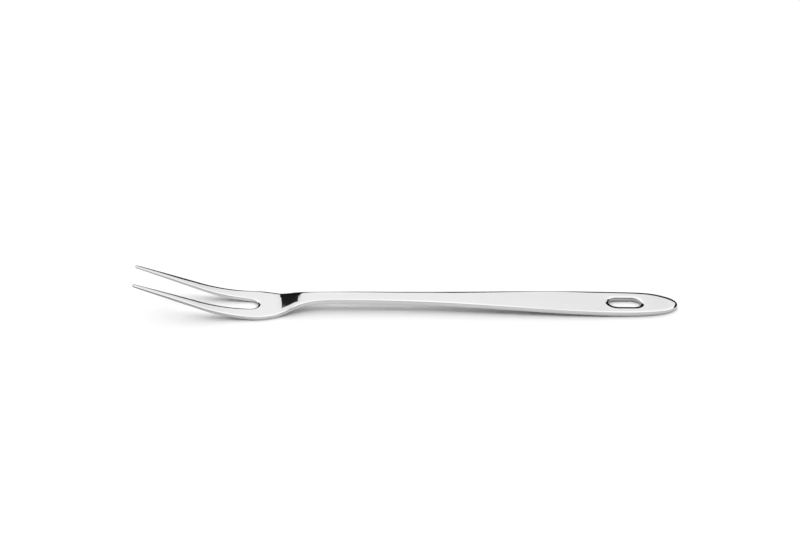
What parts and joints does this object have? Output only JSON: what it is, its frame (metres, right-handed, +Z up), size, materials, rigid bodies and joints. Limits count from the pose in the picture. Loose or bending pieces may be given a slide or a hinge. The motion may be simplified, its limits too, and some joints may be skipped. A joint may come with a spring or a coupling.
{
  "type": "meat fork",
  "caption": "Long polished steel meat fork with tapered upswept tines, a slim S-curved neck and a flat flared handle with a hanging slot.",
  "frame": {"origin": "middle of the fork's length and width, on the surface that it lies on", "axes": "+X from the tines to the end of the handle, +Z up out of the concave side of the tines"},
  "size_m": [0.32, 0.0288, 0.0219],
  "materials": {
    "head_steel": "polished",
    "handle_steel": "polished"
  },
  "bodies": {
    "root": {"fork_head": "head_steel", "handle": "handle_steel"}
  },
  "joints": []
}
